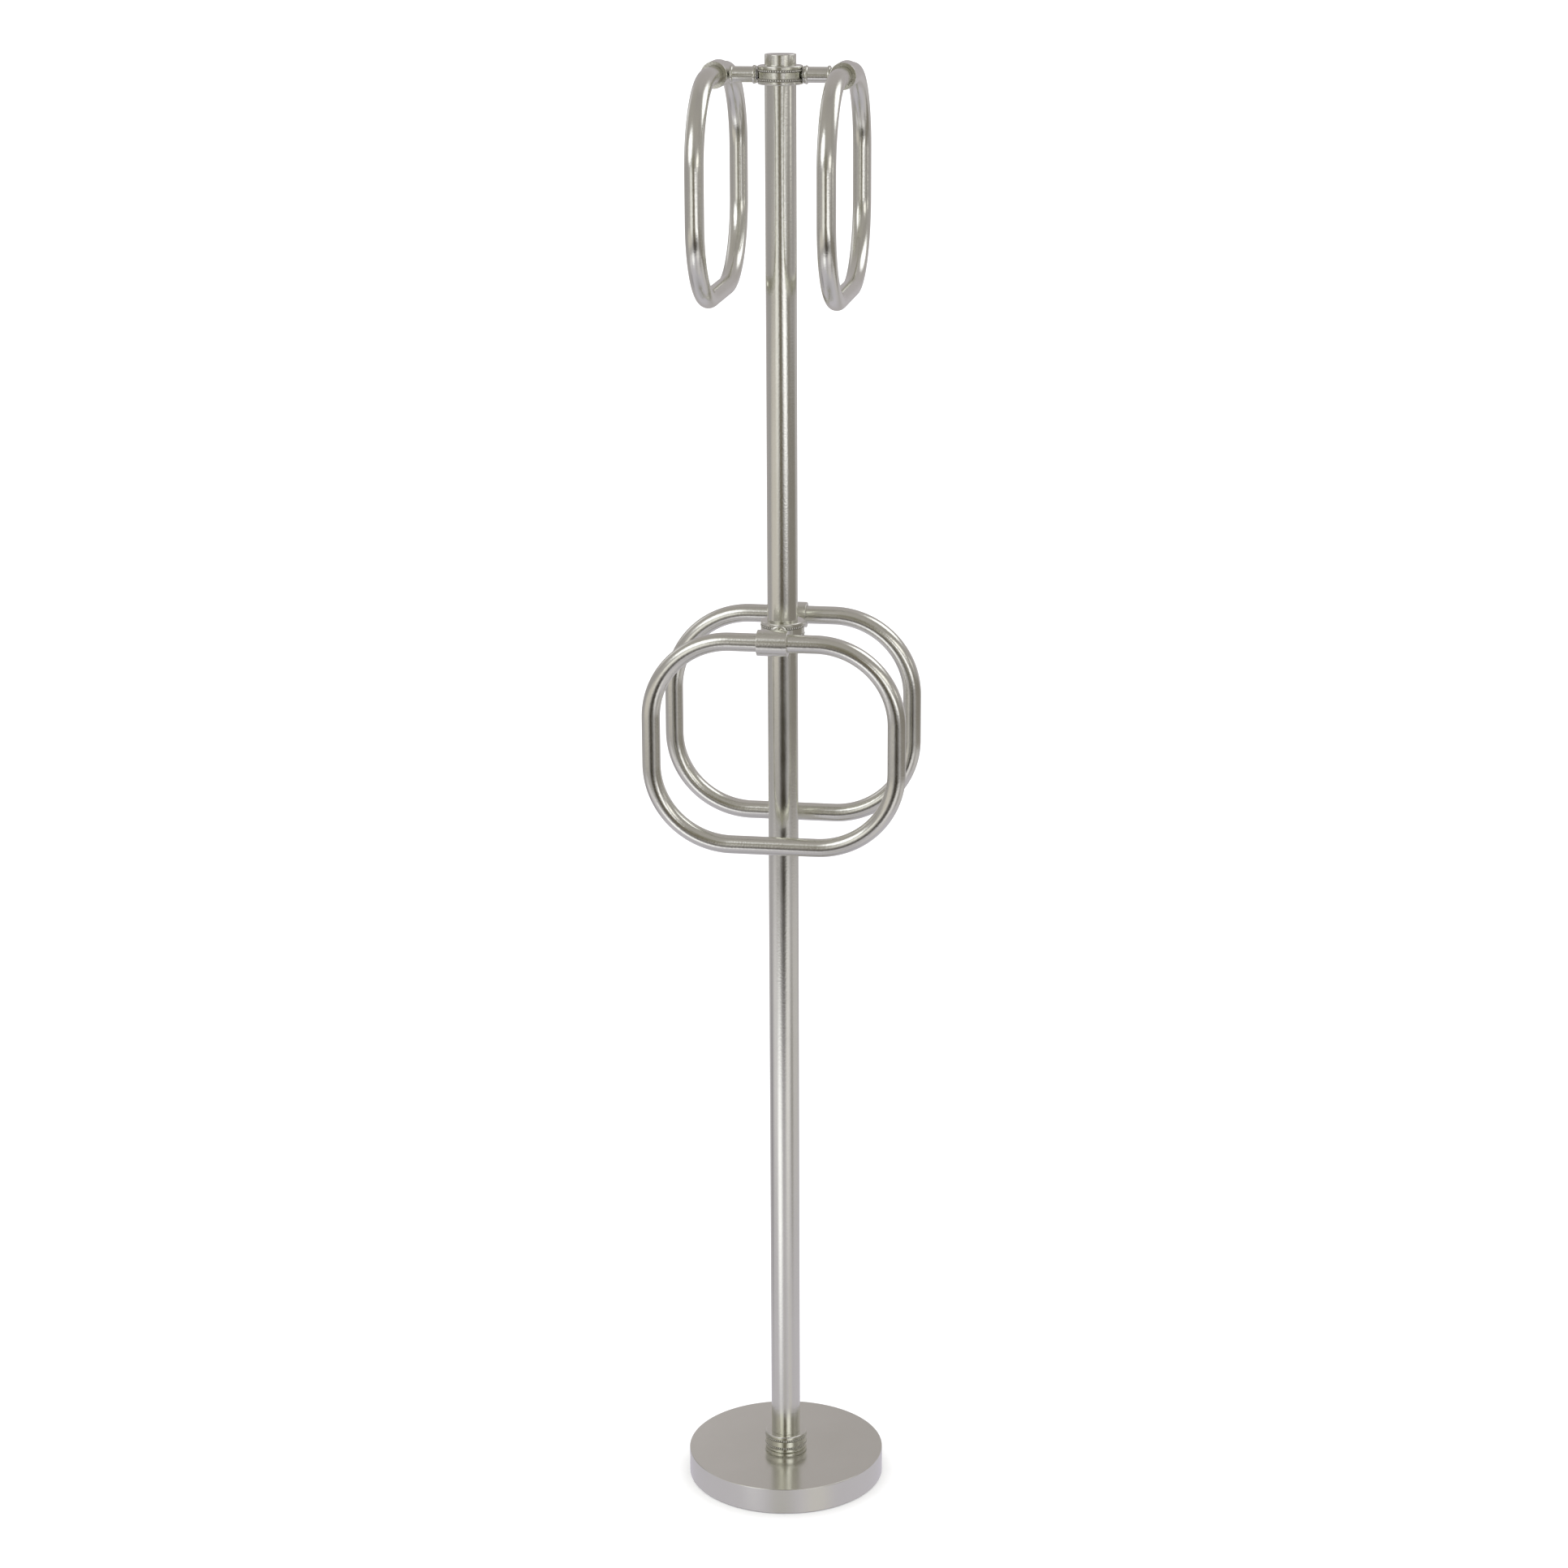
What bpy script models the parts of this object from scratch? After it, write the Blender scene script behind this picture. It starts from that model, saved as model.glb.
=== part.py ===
"""Floor stand with four towel rings that swing in sleeves on short arms.

The stand is a stack on one upright axis: foot pad, weighted base, collar, lower tube, mid hub,
upper tube, top hub and cap. The mid hub carries arms to the front and back, the top hub to the
left and right. Origin: centre of the underside. +Z is up and the front arm points along -Y.
"""
import math

import bmesh
import bpy
from mathutils import Vector

# All dimensions are in millimetres. MM turns them into metres where a mesh or an object is made.
MM = 0.001
GAP = 0.3                 # running and seating gap between neighbouring pieces

# Stand
TOTAL_HEIGHT = 1244.6
POLE_RADIUS = 12.7
TUBE_WALL = 1.5
MID_PIVOT_Z = 774.3       # height of the front and back rings' bars
TOP_PIVOT_Z = 1228.3      # height of the left and right rings' bars

# Base
BASE_RADIUS = 85.9
BASE_HEIGHT = 23.5
BASE_WALL = 1.5
BASE_LIP = 0.8            # height of the cover's rim above the floor
BASE_EDGE = 0.6
PAD_THICKNESS = 2.0
WEIGHT_RECESS_RADIUS = 12.0
WEIGHT_RECESS_DEPTH = 9.0

# Hubs and base collar
HUB_RADIUS = 18.2
HUB_HEIGHT = 15.0
HUB_EDGE = 1.0
BEAD_ROW_OFFSET = 3.6     # bead rows above and below the middle of a hub
BEAD_ROW_WIDTH = 1.2
BEAD_ROW_RISE = 0.4

# Arms
ARM_REACH = 52.0          # pole axis to ring bar
POST_RADIUS = 6.35
SEAT_RADIUS = 6.9
SEAT_LENGTH = 0.8
FLANGE_RADIUS = 7.5
FLANGE_WIDTH = 2.8
HOLDER_RADIUS = 10.8
HOLDER_BORE_RADIUS = 8.0
HOLDER_LENGTH = 25.4
HOLDER_EDGE = 0.5

# Rings, measured to the tube's centreline
RING_HALF_WIDTH = 102.9
RING_DROP = 174.2
RING_CORNER = 67.0
RING_TUBE_RADIUS = 7.65
RING_TUBE_BORE = 6.45
RING_SEAM = 0.6
PIN_LENGTH = 20.0

# Fasteners
MAIN_STUD_RADIUS = 5.0
ARM_STUD_RADIUS = 3.0
STUD_CHAMFER = 0.6
STUD_IN_HUB = 8.8         # pole axis to the inner end of an arm stud
STUD_IN_WALL = 2.1        # depth of an arm stud in the holder's wall
INSERT_LENGTH = 20.0
BOLT_HEAD_RADIUS = 9.2
BOLT_HEAD_HEIGHT = 6.0
BOLT_TOP_Z = 55.0
WASHER_RADIUS = 10.5
WASHER_THICKNESS = 1.7
CAP_EDGE = 0.5
CAP_BORE_DEPTH = 6.0

# Facets around each kind of turned piece
BASE_SEGMENTS = 64
HUB_SEGMENTS = 32
SMALL_SEGMENTS = 16
RING_BORE_SEGMENTS = 6    # the outside of the ring's tube has twice as many
CORNER_STEPS = 6

# Heights that follow from the dimensions above
COLLAR_Z = BASE_HEIGHT + GAP
MID_HUB_Z = MID_PIVOT_Z - HUB_HEIGHT / 2
TOP_HUB_Z = TOP_PIVOT_Z - HUB_HEIGHT / 2
LOWER_TUBE_Z = COLLAR_Z + HUB_HEIGHT + GAP
LOWER_TUBE_TOP = MID_HUB_Z - GAP
UPPER_TUBE_Z = MID_HUB_Z + HUB_HEIGHT + GAP
UPPER_TUBE_TOP = TOP_HUB_Z - GAP
CAP_Z = TOP_HUB_Z + HUB_HEIGHT + GAP
MAIN_BORE = MAIN_STUD_RADIUS + GAP
ARM_BORE = ARM_STUD_RADIUS + GAP

# Each arm: name, bearing of its post about the pole, and the height of its ring's bar
ARMS = (
    ("right", 0.0, TOP_PIVOT_Z),
    ("back", math.pi / 2, MID_PIVOT_Z),
    ("left", math.pi, TOP_PIVOT_Z),
    ("front", -math.pi / 2, MID_PIVOT_Z),
)


def clear_scene():
    for obj in list(bpy.data.objects):
        bpy.data.objects.remove(obj, do_unlink=True)


def make_material(name, colour, metallic, roughness):
    material = bpy.data.materials.new(name)
    material.use_nodes = True
    shader = material.node_tree.nodes["Principled BSDF"]
    shader.inputs["Base Color"].default_value = (*colour, 1.0)
    shader.inputs["Metallic"].default_value = metallic
    shader.inputs["Roughness"].default_value = roughness
    return material


def add_part(name, bm, material, location=(0, 0, 0), bearing=0.0, parent=None):
    """Turn a bmesh in millimetres into a named object in metres."""
    bmesh.ops.scale(bm, vec=Vector((MM, MM, MM)), verts=bm.verts)
    bmesh.ops.recalc_face_normals(bm, faces=bm.faces)
    mesh = bpy.data.meshes.new(name)
    bm.to_mesh(mesh)
    bm.free()
    mesh.materials.append(material)
    mesh.shade_smooth()
    mesh.set_sharp_from_angle(angle=math.radians(35))
    obj = bpy.data.objects.new(name, mesh)
    bpy.context.scene.collection.objects.link(obj)
    obj.location = Vector(location) * MM
    obj.rotation_euler.z = bearing
    obj.parent = parent
    return obj


def turned(profile, segments, hollow=True):
    """Spin a profile of (radius, height) points about Z.

    A hollow piece has a closed profile. A solid one starts and ends on the axis.
    """
    bm = bmesh.new()
    verts = [bm.verts.new((radius, 0, height)) for radius, height in profile]
    ends = verts[1:] + verts[:1] if hollow else verts[1:]
    edges = [bm.edges.new(pair) for pair in zip(verts, ends)]
    bmesh.ops.spin(bm, geom=verts + edges, axis=(0, 0, 1), cent=(0, 0, 0),
                   angle=2 * math.pi, steps=segments, use_merge=True)
    bmesh.ops.remove_doubles(bm, verts=bm.verts, dist=0.001)
    return bm


def lay_along_x(bm):
    """Turn a piece made along +Z so that it runs along +X."""
    for vert in bm.verts:
        vert.co = Vector((vert.co.z, vert.co.y, -vert.co.x))
    return bm


def lay_along_y(bm):
    """Turn a piece made along +Z so that it runs along +Y."""
    for vert in bm.verts:
        vert.co = Vector((vert.co.x, vert.co.z, -vert.co.y))
    return bm


def tube_profile(inner, outer, low, high, edge=0.0):
    """Closed profile of a plain tube, with its outer edges bevelled by edge."""
    if edge == 0.0:
        return [(inner, low), (outer, low), (outer, high), (inner, high)]
    return [(inner, low), (outer - edge, low), (outer, low + edge),
            (outer, high - edge), (outer - edge, high), (inner, high)]


def rod_profile(radius, low, high, edge):
    """Open profile of a solid rod whose ends are bevelled by edge."""
    return [(0, low), (radius - edge, low), (radius, low + edge),
            (radius, high - edge), (radius - edge, high), (0, high)]


def bead_row(middle):
    """Raised band where a row of beads runs round a hub."""
    half = BEAD_ROW_WIDTH / 2
    top = HUB_RADIUS + BEAD_ROW_RISE
    return [(HUB_RADIUS, middle - half), (top, middle - half / 2),
            (top, middle + half / 2), (HUB_RADIUS, middle + half)]


def hub_profile():
    """Short barrel with a through bore, bevelled edges and two bead rows."""
    middle = HUB_HEIGHT / 2
    return [
        (MAIN_BORE, 0),
        (HUB_RADIUS - HUB_EDGE, 0),
        (HUB_RADIUS, HUB_EDGE),
        *bead_row(middle - BEAD_ROW_OFFSET),
        *bead_row(middle + BEAD_ROW_OFFSET),
        (HUB_RADIUS, HUB_HEIGHT - HUB_EDGE),
        (HUB_RADIUS - HUB_EDGE, HUB_HEIGHT),
        (MAIN_BORE, HUB_HEIGHT),
    ]


def make_base(nickel, iron, rubber):
    """Foot pad, cast weight and the cover that hides it."""
    inside = BASE_RADIUS - BASE_WALL
    pad = turned([(0, 0), (inside - GAP, 0), (inside - GAP, PAD_THICKNESS), (0, PAD_THICKNESS)],
                 BASE_SEGMENTS, hollow=False)
    add_part("foot_pad", pad, rubber)

    weight_low = PAD_THICKNESS + GAP
    weight_high = BASE_HEIGHT - BASE_WALL - GAP
    recess_top = weight_low + WEIGHT_RECESS_DEPTH
    weight = turned([(MAIN_BORE, recess_top), (WEIGHT_RECESS_RADIUS, recess_top),
                     (WEIGHT_RECESS_RADIUS, weight_low), (inside - GAP, weight_low),
                     (inside - GAP, weight_high), (MAIN_BORE, weight_high)], BASE_SEGMENTS)
    add_part("base_weight", weight, iron)

    cover = turned([(inside, BASE_LIP), (BASE_RADIUS, BASE_LIP),
                    (BASE_RADIUS, BASE_HEIGHT - BASE_EDGE), (BASE_RADIUS - BASE_EDGE, BASE_HEIGHT),
                    (MAIN_BORE, BASE_HEIGHT), (MAIN_BORE, BASE_HEIGHT - BASE_WALL),
                    (inside, BASE_HEIGHT - BASE_WALL)], BASE_SEGMENTS)
    add_part("base_cover", cover, nickel)


def hexagon_bolt(head_low, head_high, shank_top):
    """Hexagon head with a round shank rising from it."""
    bm = bmesh.new()

    def loop(radius, count, height):
        angles = [2 * math.pi * i / count for i in range(count)]
        points = [(radius * math.cos(a), radius * math.sin(a), height) for a in angles]
        verts = [bm.verts.new(point) for point in points]
        return [bm.edges.new(pair) for pair in zip(verts, verts[1:] + verts[:1])]

    loops = [
        loop(BOLT_HEAD_RADIUS, 6, head_low),
        loop(BOLT_HEAD_RADIUS, 6, head_high),
        loop(MAIN_STUD_RADIUS, SMALL_SEGMENTS, head_high),
        loop(MAIN_STUD_RADIUS, SMALL_SEGMENTS, shank_top),
    ]
    for lower, upper in zip(loops, loops[1:]):
        bmesh.ops.bridge_loops(bm, edges=lower + upper)
    bmesh.ops.edgeloop_fill(bm, edges=loops[0])
    bmesh.ops.edgeloop_fill(bm, edges=loops[-1])
    return bm


def make_base_fixing(steel):
    """Bolt and washer that pull the base, collar and lower tube together."""
    washer_top = PAD_THICKNESS + GAP + WEIGHT_RECESS_DEPTH - GAP
    washer_low = washer_top - WASHER_THICKNESS
    washer = turned(tube_profile(MAIN_BORE, WASHER_RADIUS, washer_low, washer_top), SMALL_SEGMENTS)
    add_part("base_washer", washer, steel)

    head_high = washer_low - GAP
    bolt = hexagon_bolt(head_high - BOLT_HEAD_HEIGHT, head_high, BOLT_TOP_Z)
    add_part("base_bolt", bolt, steel)


def make_tube(name, low, high, nickel, steel):
    """One length of the pole with a tapped insert in each end."""
    inside = POLE_RADIUS - TUBE_WALL
    tube = turned(tube_profile(inside, POLE_RADIUS, low, high), HUB_SEGMENTS)
    add_part(name, tube, nickel)
    ends = (("foot", low + GAP), ("head", high - GAP - INSERT_LENGTH))
    for end, start in ends:
        profile = tube_profile(MAIN_BORE, inside - GAP, start, start + INSERT_LENGTH)
        add_part(f"{name}_{end}_insert", turned(profile, SMALL_SEGMENTS), steel)


def make_stud(name, low, high, steel):
    """Threaded rod on the pole's axis, drawn plain."""
    profile = rod_profile(MAIN_STUD_RADIUS, low, high, STUD_CHAMFER)
    add_part(name, turned(profile, SMALL_SEGMENTS, hollow=False), steel)


def cut(target, cutter):
    """Subtract a hidden cutter from a part."""
    cutter.hide_render = True
    cutter.display_type = "WIRE"
    modifier = target.modifiers.new(cutter.name, "BOOLEAN")
    modifier.operation = "DIFFERENCE"
    modifier.solver = "EXACT"
    modifier.object = cutter


def make_hub(name, pivot_z, bearing, material):
    """Hub with two tapped holes for the arms that point along its bearing."""
    hub = add_part(name, turned(hub_profile(), HUB_SEGMENTS), material, (0, 0, pivot_z - HUB_HEIGHT / 2))
    reach = HUB_RADIUS + FLANGE_WIDTH
    hole = [(0, STUD_IN_HUB - GAP), (ARM_BORE, STUD_IN_HUB - GAP), (ARM_BORE, reach), (0, reach)]
    for side in (0, math.pi):
        drill = lay_along_x(turned(hole, SMALL_SEGMENTS, hollow=False))
        side_name = "far" if side else "near"
        cutter = add_part(f"{name}_{side_name}_drill", drill, material, (0, 0, pivot_z), bearing + side)
        cut(hub, cutter)


def make_cap(material):
    """Plain cap with a blind tapped hole underneath."""
    profile = [(0, CAP_Z + CAP_BORE_DEPTH), (MAIN_BORE, CAP_Z + CAP_BORE_DEPTH), (MAIN_BORE, CAP_Z),
               (POLE_RADIUS, CAP_Z), (POLE_RADIUS, TOTAL_HEIGHT - CAP_EDGE),
               (POLE_RADIUS - CAP_EDGE, TOTAL_HEIGHT), (0, TOTAL_HEIGHT)]
    add_part("top_cap", turned(profile, HUB_SEGMENTS, hollow=False), material)


def flange(start, width):
    """Rounded ring round a post, from start along its axis."""
    return [(FLANGE_RADIUS - width / 4, start), (FLANGE_RADIUS, start + width / 4),
            (FLANGE_RADIUS, start + 3 * width / 4), (FLANGE_RADIUS - width / 4, start + width)]


def post_profile():
    """Post from the hub's bead rows to the crown of the holder, with a through bore."""
    near = HUB_RADIUS + BEAD_ROW_RISE + GAP
    far = ARM_REACH - HOLDER_RADIUS - GAP
    near_flange = near + SEAT_LENGTH
    far_flange = far - FLANGE_WIDTH
    return [
        (ARM_BORE, near),
        (SEAT_RADIUS, near),
        (SEAT_RADIUS, near_flange),
        *flange(near_flange, FLANGE_WIDTH),
        (POST_RADIUS, near_flange + FLANGE_WIDTH),
        (POST_RADIUS, far_flange),
        *flange(far_flange, FLANGE_WIDTH),
        (ARM_BORE, far),
    ]


def ring_path():
    """Centreline of a ring about the middle of its bar, from one side of the seam to the other.

    Each point is (along the bar, up) with the bar's middle at the origin.
    """
    straight = RING_HALF_WIDTH - RING_CORNER
    top = -RING_CORNER
    bottom = RING_CORNER - RING_DROP
    corners = ((straight, top, 90), (straight, bottom, 0), (-straight, bottom, -90), (-straight, top, -180))
    path = [(RING_SEAM / 2, 0.0)]
    for along, up, first in corners:
        for step in range(CORNER_STEPS + 1):
            angle = math.radians(first - 90 * step / CORNER_STEPS)
            path.append((along + RING_CORNER * math.cos(angle), up + RING_CORNER * math.sin(angle)))
    path.append((-RING_SEAM / 2, 0.0))
    return path


def ring_section(bm, point, normal, radius, count):
    """Round section of the ring's tube. Its plane holds X and the path's in-plane normal."""
    centre = Vector((0, *point))
    across = Vector((1, 0, 0))
    angles = [2 * math.pi * i / count for i in range(count)]
    offsets = [across * math.cos(a) + normal * math.sin(a) for a in angles]
    return [bm.verts.new(centre + radius * offset) for offset in offsets]


def bent_ring():
    """Tube bent round the ring's path, open at its seam."""
    bm = bmesh.new()
    path = ring_path()
    outer = []
    inner = []
    for index, point in enumerate(path):
        before = path[max(index - 1, 0)]
        after = path[min(index + 1, len(path) - 1)]
        tangent = Vector((0, after[0] - before[0], after[1] - before[1])).normalized()
        normal = Vector((0, -tangent.z, tangent.y))
        outer.append(ring_section(bm, point, normal, RING_TUBE_RADIUS, 2 * RING_BORE_SEGMENTS))
        inner.append(ring_section(bm, point, normal, RING_TUBE_BORE, RING_BORE_SEGMENTS))
    for skin in (outer, inner):
        for first, second in zip(skin, skin[1:]):
            for i in range(len(first)):
                bm.faces.new((first[i], first[i - 1], second[i - 1], second[i]))
    for end in (0, -1):
        rim = outer[end]
        for i in range(RING_BORE_SEGMENTS):
            bm.faces.new((inner[end][i], rim[2 * i], rim[2 * i - 1], rim[2 * i - 2], inner[end][i - 1]))
    return bm


def make_holder(name, location, bearing, nickel):
    """Sleeve along local Y with a tapped hole in its inner side for the arm stud."""
    half = HOLDER_LENGTH / 2
    profile = tube_profile(HOLDER_BORE_RADIUS, HOLDER_RADIUS, -half, half, HOLDER_EDGE)
    sleeve = lay_along_y(turned(profile, HUB_SEGMENTS))
    holder = add_part(name, sleeve, nickel, location, bearing)
    hole_end = -HOLDER_RADIUS + STUD_IN_WALL + GAP
    hole_start = -HOLDER_RADIUS - FLANGE_WIDTH
    hole = [(0, hole_start), (ARM_BORE, hole_start), (ARM_BORE, hole_end), (0, hole_end)]
    drill = lay_along_x(turned(hole, SMALL_SEGMENTS, hollow=False))
    cut(holder, add_part(f"{name}_drill", drill, nickel, location, bearing))


def make_arm(side, bearing, pivot_z, nickel, steel):
    """Post, stud, holder and hinged ring on one side of the stand."""
    on_axis = (0, 0, pivot_z)
    pivot = (ARM_REACH * math.cos(bearing), ARM_REACH * math.sin(bearing), pivot_z)

    post = lay_along_x(turned(post_profile(), SMALL_SEGMENTS))
    add_part(f"arm_post_{side}", post, nickel, on_axis, bearing)

    stud_end = ARM_REACH - HOLDER_RADIUS + STUD_IN_WALL
    stud_profile = rod_profile(ARM_STUD_RADIUS, STUD_IN_HUB, stud_end, STUD_CHAMFER)
    stud = lay_along_x(turned(stud_profile, SMALL_SEGMENTS, hollow=False))
    add_part(f"arm_stud_{side}", stud, steel, on_axis, bearing)

    make_holder(f"ring_holder_{side}", pivot, bearing, nickel)

    hinge = bpy.data.objects.new(f"hinge_{side}", None)
    bpy.context.scene.collection.objects.link(hinge)
    hinge.location = Vector(pivot) * MM
    hinge.rotation_euler.z = bearing
    add_part(f"towel_ring_{side}", bent_ring(), nickel, parent=hinge)

    pin_radius = RING_TUBE_BORE * math.cos(math.pi / RING_BORE_SEGMENTS) - GAP
    pin_profile = rod_profile(pin_radius, -PIN_LENGTH / 2, PIN_LENGTH / 2, STUD_CHAMFER)
    pin = lay_along_y(turned(pin_profile, SMALL_SEGMENTS, hollow=False))
    add_part(f"ring_joint_pin_{side}", pin, steel, parent=hinge)


def main():
    clear_scene()
    nickel = make_material("satin_nickel", (0.60, 0.58, 0.55), 1.0, 0.28)
    iron = make_material("cast_iron", (0.10, 0.10, 0.10), 0.8, 0.70)
    steel = make_material("zinc_steel", (0.66, 0.67, 0.68), 1.0, 0.35)
    rubber = make_material("black_rubber", (0.03, 0.03, 0.03), 0.0, 0.85)

    make_base(nickel, iron, rubber)
    make_base_fixing(steel)
    add_part("base_collar", turned(hub_profile(), HUB_SEGMENTS), nickel, (0, 0, COLLAR_Z))
    make_tube("lower_tube", LOWER_TUBE_Z, LOWER_TUBE_TOP, nickel, steel)
    make_hub("mid_hub", MID_PIVOT_Z, math.pi / 2, nickel)
    make_stud("mid_stud", LOWER_TUBE_TOP - 0.8 * INSERT_LENGTH, UPPER_TUBE_Z + 0.8 * INSERT_LENGTH, steel)
    make_tube("upper_tube", UPPER_TUBE_Z, UPPER_TUBE_TOP, nickel, steel)
    make_hub("top_hub", TOP_PIVOT_Z, 0.0, nickel)
    make_stud("top_stud", UPPER_TUBE_TOP - 0.8 * INSERT_LENGTH, CAP_Z + CAP_BORE_DEPTH - GAP, steel)
    make_cap(nickel)
    for side, bearing, pivot_z in ARMS:
        make_arm(side, bearing, pivot_z, nickel, steel)


main()
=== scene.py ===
"""Looks of the free-standing ring stand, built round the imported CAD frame."""

import math
from typing import NamedTuple

import bmesh
import bpy
from mathutils import Matrix, Vector


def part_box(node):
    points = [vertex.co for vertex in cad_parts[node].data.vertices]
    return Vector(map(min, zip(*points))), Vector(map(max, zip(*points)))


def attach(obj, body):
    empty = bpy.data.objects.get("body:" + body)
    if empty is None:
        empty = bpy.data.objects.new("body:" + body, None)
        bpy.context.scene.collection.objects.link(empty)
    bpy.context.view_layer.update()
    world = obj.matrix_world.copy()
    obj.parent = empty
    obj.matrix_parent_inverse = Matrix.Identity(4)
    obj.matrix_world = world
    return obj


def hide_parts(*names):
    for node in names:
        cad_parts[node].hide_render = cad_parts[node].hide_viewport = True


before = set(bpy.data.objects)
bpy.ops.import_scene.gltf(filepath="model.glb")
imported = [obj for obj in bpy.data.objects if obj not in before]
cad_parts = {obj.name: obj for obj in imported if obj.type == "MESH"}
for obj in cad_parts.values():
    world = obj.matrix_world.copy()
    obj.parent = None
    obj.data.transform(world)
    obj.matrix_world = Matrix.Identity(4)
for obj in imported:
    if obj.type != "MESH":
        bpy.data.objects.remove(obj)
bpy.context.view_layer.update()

MM = 0.001
STAND = "stand"
UP = Vector((0, 0, 1))
OUTWARD = {
    "right": Vector((1, 0, 0)),
    "back": Vector((0, 1, 0)),
    "left": Vector((-1, 0, 0)),
    "front": Vector((0, -1, 0)),
}

# Finer shapes than the CAD solids have
SUPPORT = 0.25 * MM          # from a rounded edge to the loop that holds it
CAD_GAP = 0.3 * MM           # between seated pieces in the CAD model
SEAT_GAP = 0.05 * MM         # between the same pieces here
TUBE_WALL = 1.5 * MM
MAIN_BORE = 5.3 * MM         # for the studs in the pole's axis
ARM_BORE = 3.3 * MM          # for the threaded rods in the arms
COVER_EDGE = 0.6 * MM
COVER_LIP = 0.3 * MM
PAD_EDGE = 0.4 * MM
TUBE_EDGE = 0.2 * MM
CAP_EDGE = 0.7 * MM
CAP_BORE_DEPTH = 6.0 * MM
HUB_BARREL = 18.2 * MM
HUB_EDGE = 1.0 * MM
BEADS_PER_ROW = 56
BEAD_ROW_OFFSET = 3.6 * MM   # of each row from the hub's middle
BEAD_RADIUS = 0.9 * MM
BEAD_NECK = 0.05             # squared thickness between two beads, as a part of the bead's
GROOVE_HALF_WIDTH = 1.25 * MM
GROOVE_DEPTH = 0.6 * MM
FLANGE_WIDTH = 2.8 * MM
SEAT_RADIUS = 6.9 * MM       # of the post's end that sits in the hub
SEAT_LENGTH = 0.8 * MM
SEAT_LOOP = 0.05 * MM        # from the near flange to the loop that holds its corner
POST_RADIUS = 6.35 * MM
HOLDER_BORE = 7.75 * MM
HOLDER_EDGE = 0.4 * MM
RING_CORNER = 67.0 * MM      # bend radius of the rings' tube, to its centreline
RING_TUBE_BORE = 6.45 * MM
RING_SEAM = 0.6 * MM

# Facets round each shape, steps along its curves, and angles in degrees that leave an edge sharp
COVER_FACETS = 256
TURNED_FACETS = 192
SMALL_FACETS = 128
RING_FACETS = 64
RING_BORE_FACETS = 32
BEAD_FACETS = 10
BEAD_STEPS = 8
EDGE_STEPS = 6
LIP_STEPS = 4
FLANGE_STEPS = 16
BEND_STEPS = 40
SHARP_ANGLE = 40
BEAD_SHARP_ANGLE = 75

# Finishes: colours are linear, with alpha
NICKEL_DARK = (0.722, 0.724, 0.640, 1)
NICKEL_LIGHT = (0.752, 0.753, 0.672, 1)
NICKEL_WORN = (0.79, 0.79, 0.72, 1)
# Painted shade: the dark colour put into the necks between beads
BEAD_NECK_PAINTED_SHADE = (0.15, 0.14, 0.11, 1)
# Painted shade: the darker colour put into the hubs' grooves
GROOVE_PAINTED_SHADE = (0.58, 0.57, 0.50, 1)
NICKEL_ROUGHNESS = (0.165, 0.205)
LINE_ROUGHNESS = 0.03        # range of roughness that the polishing lines add
LINE_DEPTH = 0.004 * MM
WORN_ROUGHNESS = -0.04       # change of roughness on worn edges
CREVICE_ROUGHNESS = 0.2      # change of roughness in crevices
WORN_EDGE = 0.5 * MM
EDGE_AGREEMENT = (0.99, 0.86)    # cosine to the rounded normal, off an edge and on it
NOISE_SPAN = (0.3, 0.7)      # nearly all values of a noise texture
NECK_SPAN = (0.0, 0.7)       # of a wave that is 1 in the necks: where a neck starts, and where its painted shade is full
GROOVE_BLEND = 0.15 * MM     # width over which a groove's painted shade fades out

FLOOR_HALF_WIDTH = 60.0
FLOOR_COLOUR = (0.95, 0.95, 0.95, 1)
FLOOR_ROUGHNESS = 0.9
SKY_STRENGTH = 1.35

# The photographer's place, fitted to the outlines in the photo, in metres and degrees
CAMERA_DISTANCE = 2.780      # from the pole's axis, measured along the floor
CAMERA_HEIGHT = 1.4468
CAMERA_BEARING = 9.06        # from the front arm towards the right one
CAMERA_LOOK_BEARING = 9.048
CAMERA_TILT_DOWN = 16.2
CAMERA_ROLL = -0.229
CAMERA_LENS = 78.617         # focal length and sensor width in millimetres
CAMERA_SENSOR = 36.0


class Patch(NamedTuple):
    """A soft-rimmed ellipse of light or dark on the dome. Its angles are in degrees."""

    bearing: float           # from the front arm towards the right one
    height: float            # above the dome's middle
    half_width: float
    half_height: float
    tilt: float
    softness: float          # of the rim, as a part of the half sizes
    shade: tuple


ROOM_RADIUS = 1.65
ROOM_MIDDLE_HEIGHT = 0.62
ROOM_SEGMENTS = 96
ROOM_BANDS = 48
ROOM_TINT = (0.95, 0.95, 0.97)    # multiplies every brightness below

# The studio that the metal mirrors: (height in degrees, brightness) from the floor to the ceiling
ROOM_SHADES = (
    (-90, (0.46, 0.44, 0.49)),
    (-75, (0.53, 0.51, 0.57)),
    (-60, (0.60, 0.58, 0.65)),
    (-48, (0.65, 0.62, 0.70)),
    (-32, (0.60, 0.575, 0.63)),
    (-20, (0.51, 0.49, 0.52)),
    (-8, (0.45, 0.43, 0.445)),
    (8, (0.42, 0.40, 0.41)),
    (30, (0.455, 0.43, 0.43)),
    (60, (0.46, 0.435, 0.415)),
    (90, (0.41, 0.385, 0.385)),
)

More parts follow.
